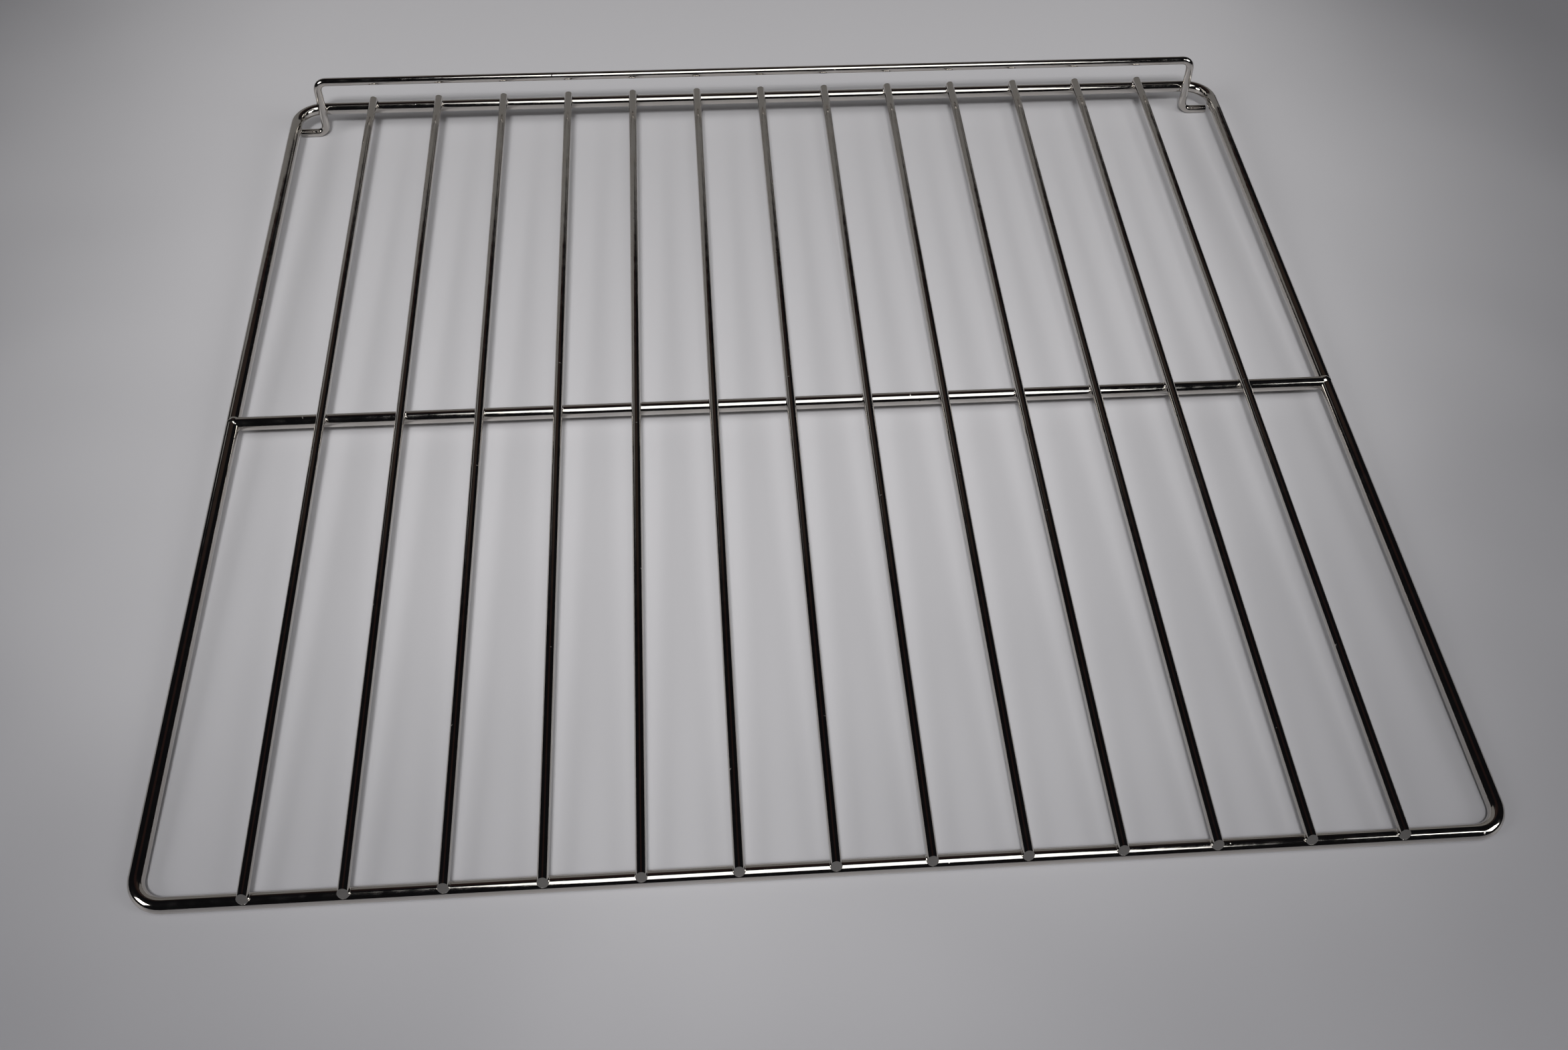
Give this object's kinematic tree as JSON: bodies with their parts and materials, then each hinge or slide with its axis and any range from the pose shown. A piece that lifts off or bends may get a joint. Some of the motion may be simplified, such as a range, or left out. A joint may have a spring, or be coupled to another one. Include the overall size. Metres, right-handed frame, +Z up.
{
  "type": "oven shelf rack",
  "caption": "Flat rectangular oven shelf of welded plated wire, with rods from front to rear, a cross support and a raised rear pan stop with turned-out feet.",
  "frame": {"origin": "middle of the rack in plan, level with the underside of the two rear feet", "axes": "+X to the right along the front rail, +Y from the front rail to the rear rail, +Z up"},
  "size_m": [0.4594, 0.4236, 0.0309],
  "materials": {
    "plated_wire": "bright nickel plate on drawn steel wire"
  },
  "bodies": {
    "root": {"perimeter_frame": "plated_wire", "centre_support": "plated_wire", "rod_01": "plated_wire", "rod_02": "plated_wire", "rod_03": "plated_wire", "rod_04": "plated_wire", "rod_05": "plated_wire", "rod_06": "plated_wire", "rod_07": "plated_wire", "rod_08": "plated_wire", "rod_09": "plated_wire", "rod_10": "plated_wire", "rod_11": "plated_wire", "rod_12": "plated_wire", "rod_13": "plated_wire", "rear_stop": "plated_wire"}
  },
  "joints": []
}
